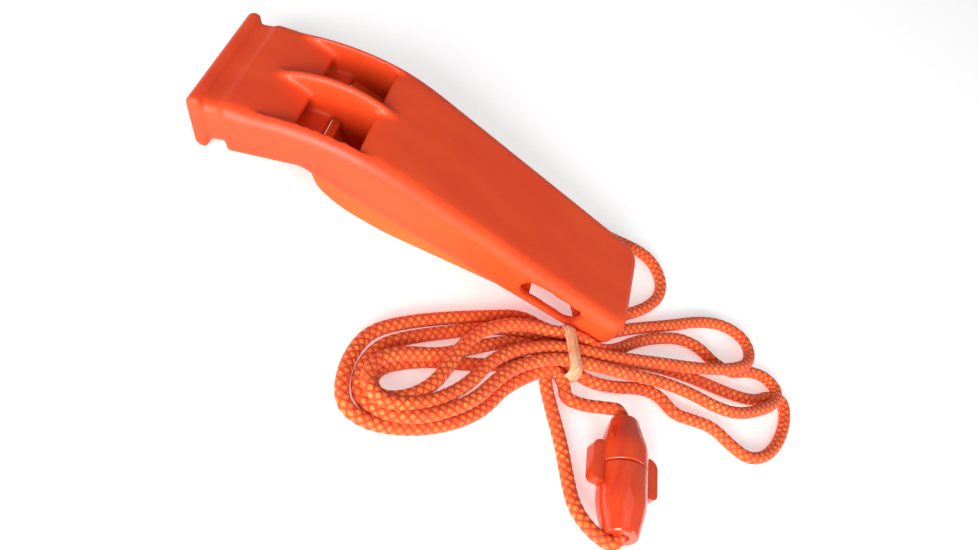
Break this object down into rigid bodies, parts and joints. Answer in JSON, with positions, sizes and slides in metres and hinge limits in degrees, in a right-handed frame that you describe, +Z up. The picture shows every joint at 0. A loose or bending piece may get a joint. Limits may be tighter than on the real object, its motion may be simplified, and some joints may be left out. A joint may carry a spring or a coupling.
{
  "type": "safety whistle with lanyard",
  "caption": "Flat orange pealess safety whistle with a folded braided lanyard, a rubber band round it and a breakaway barrel clasp.",
  "frame": {"origin": "centre of the whistle's footprint, on the surface it lies on", "axes": "+X from the mouthpiece to the lanyard end, +Y across the whistle, +Z up"},
  "size_m": [0.1161, 0.064, 0.0151],
  "materials": {
    "shell_plastic": "satin moulded",
    "cover_plastic": "satin moulded",
    "clasp_plastic": "glossy, slightly translucent",
    "cord_braid": "braided polyester",
    "band_rubber": "pale translucent latex"
  },
  "bodies": {
    "whistle": {"whistle_shell": "shell_plastic", "bottom_cover": "cover_plastic", "tail_loop": "cord_braid", "cord_hank": "cord_braid", "rubber_band": "band_rubber", "upper_leg": "cord_braid", "plug_knot": "cord_braid", "clasp_plug": "clasp_plastic"},
    "socket_half": {"clasp_socket": "clasp_plastic", "socket_knot": "cord_braid", "lower_leg": "cord_braid"}
  },
  "joints": [
    {"name": "clasp_release", "type": "slide", "parent": "whistle", "child": "socket_half", "axis": [0.108, -0.9941, 0], "range_m": [0, 0.0075]}
  ]
}
